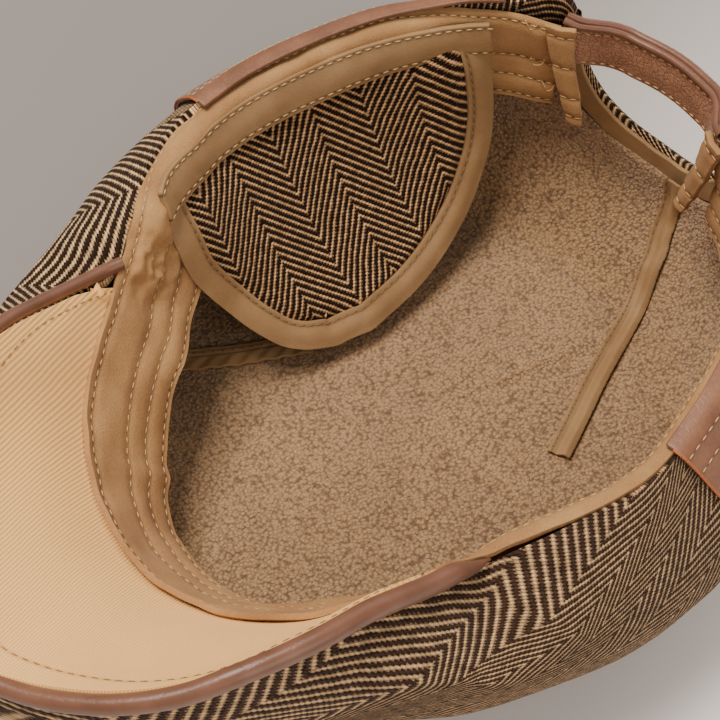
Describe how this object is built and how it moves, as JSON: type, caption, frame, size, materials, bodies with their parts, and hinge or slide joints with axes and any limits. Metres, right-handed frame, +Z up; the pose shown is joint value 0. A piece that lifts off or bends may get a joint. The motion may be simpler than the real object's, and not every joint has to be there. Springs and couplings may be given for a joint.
{
  "type": "flat cap with stowed ear flaps and an adjustable back strap",
  "caption": "Tweed flat cap lying upside down on its crown: fleece lining, sweatband, stiff peak, folded-in ear flaps and a leather back strap.",
  "frame": {"origin": "middle of the flat patch of the crown that rests on the surface, at the surface", "axes": "+Z up, out of the head opening; -X towards the peak, +X towards the back strap; +Y the wearer's left"},
  "size_m": [0.2598, 0.21, 0.089],
  "materials": {
    "tweed": "matte dark brown and cream herringbone wool tweed",
    "fleece": "matte brown boucle fleece",
    "sweatband_cloth": "soft brushed tan cotton, like suede",
    "binding_cloth": "smooth tan satin binding with a soft sheen",
    "peak_twill": "matte cream cotton twill with fine ribs",
    "leather": "satin brown grained leather"
  },
  "bodies": {
    "root": {"crown_side": "tweed", "crown_top": "tweed", "lining": "fleece", "sweatband": "sweatband_cloth", "peak": "peak_twill", "peak_roll": "leather", "ear_flap_left": "tweed", "ear_flap_binding_left": "binding_cloth", "ear_flap_band_left": "binding_cloth", "side_band_left": "leather", "corner_tab_left": "sweatband_cloth", "ear_flap_right": "tweed", "ear_flap_binding_right": "binding_cloth", "ear_flap_band_right": "binding_cloth", "side_band_right": "leather", "corner_tab_right": "sweatband_cloth", "strap_inner": "leather", "strap_outer": "leather", "arch_binding": "binding_cloth", "back_seam_tape": "binding_cloth", "side_seam_tape": "binding_cloth"}
  },
  "joints": []
}
